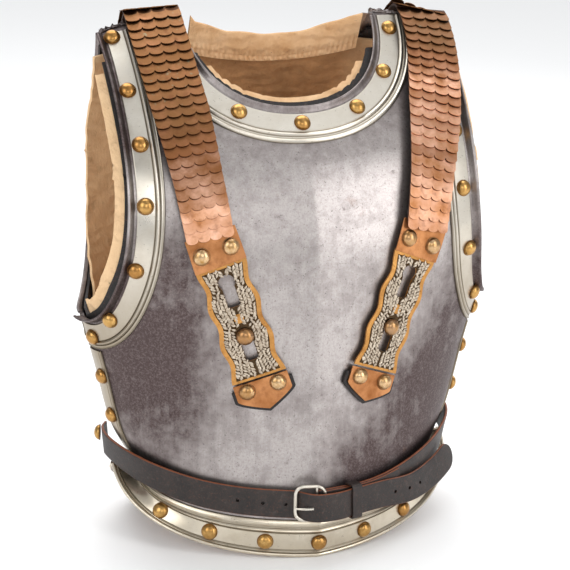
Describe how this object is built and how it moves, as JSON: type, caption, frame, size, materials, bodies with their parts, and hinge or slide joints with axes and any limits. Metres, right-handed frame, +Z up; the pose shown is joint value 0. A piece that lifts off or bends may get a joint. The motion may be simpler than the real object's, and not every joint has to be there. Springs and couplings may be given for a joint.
{
  "type": "cuirass",
  "caption": "Cavalry cuirass of a ridged steel breastplate and a backplate with riveted pale metal borders, scale-covered shoulder straps on keyhole plates and a leather waist belt.",
  "frame": {"origin": "on the floor under the middle of the cuirass, where its rims stand", "axes": "+Z up, the breastplate faces -Y, X runs across the chest"},
  "size_m": [0.4114, 0.2566, 0.503],
  "materials": {
    "steel": "satin, brushed up and down, patinated",
    "nickel_silver": "polished with fine wear",
    "brass": "polished domes",
    "copper": "polished, dulled at the edges",
    "gilt": "gilt, dark in the hollows",
    "belt_leather": "smooth, worn",
    "buckle_steel": "polished",
    "lining": "quilted cloth and soft leather"
  },
  "bodies": {
    "root": {"back_arm_band_left": "nickel_silver", "back_arm_band_right": "nickel_silver", "back_collar": "lining", "back_lining": "lining", "back_neck_band": "nickel_silver", "back_waist_band": "nickel_silver", "backplate": "steel", "belt_buckle": "buckle_steel", "belt_buckle_strap": "belt_leather", "belt_keeper": "belt_leather", "belt_prong": "buckle_steel", "belt_stud_left": "brass", "belt_stud_right": "brass", "belt_tongue": "belt_leather", "breast_arm_band_left": "nickel_silver", "breast_arm_band_right": "nickel_silver", "breast_lining": "lining", "breast_neck_band": "nickel_silver", "breast_side_band_left": "nickel_silver", "breast_side_band_right": "nickel_silver", "breast_stud_left": "brass", "breast_stud_right": "brass", "breast_waist_band": "nickel_silver", "breastplate": "steel", "key_plate_left": "gilt", "key_plate_right": "gilt", "neck_rivet_centre": "brass", "neck_rivet_inner_left": "brass", "neck_rivet_inner_right": "brass", "neck_rivet_outer_right": "brass", "neck_rivet_shoulder_right": "brass", "strap_clamp_left": "copper", "strap_clamp_right": "copper", "strap_heel_left": "copper", "strap_heel_right": "copper", "strap_leather_left": "belt_leather", "strap_leather_right": "belt_leather", "strap_scales_left": "copper", "strap_scales_right": "copper", "strap_tip_left": "copper", "strap_tip_right": "copper", "tip_backing_left": "belt_leather", "tip_backing_right": "belt_leather", "waist_rivet_centre": "brass", "waist_rivet_inner_left": "brass", "waist_rivet_inner_right": "brass", "waist_rivet_middle_left": "brass", "waist_rivet_middle_right": "brass", "waist_rivet_outer_left": "brass", "waist_rivet_outer_right": "brass"}
  },
  "joints": []
}
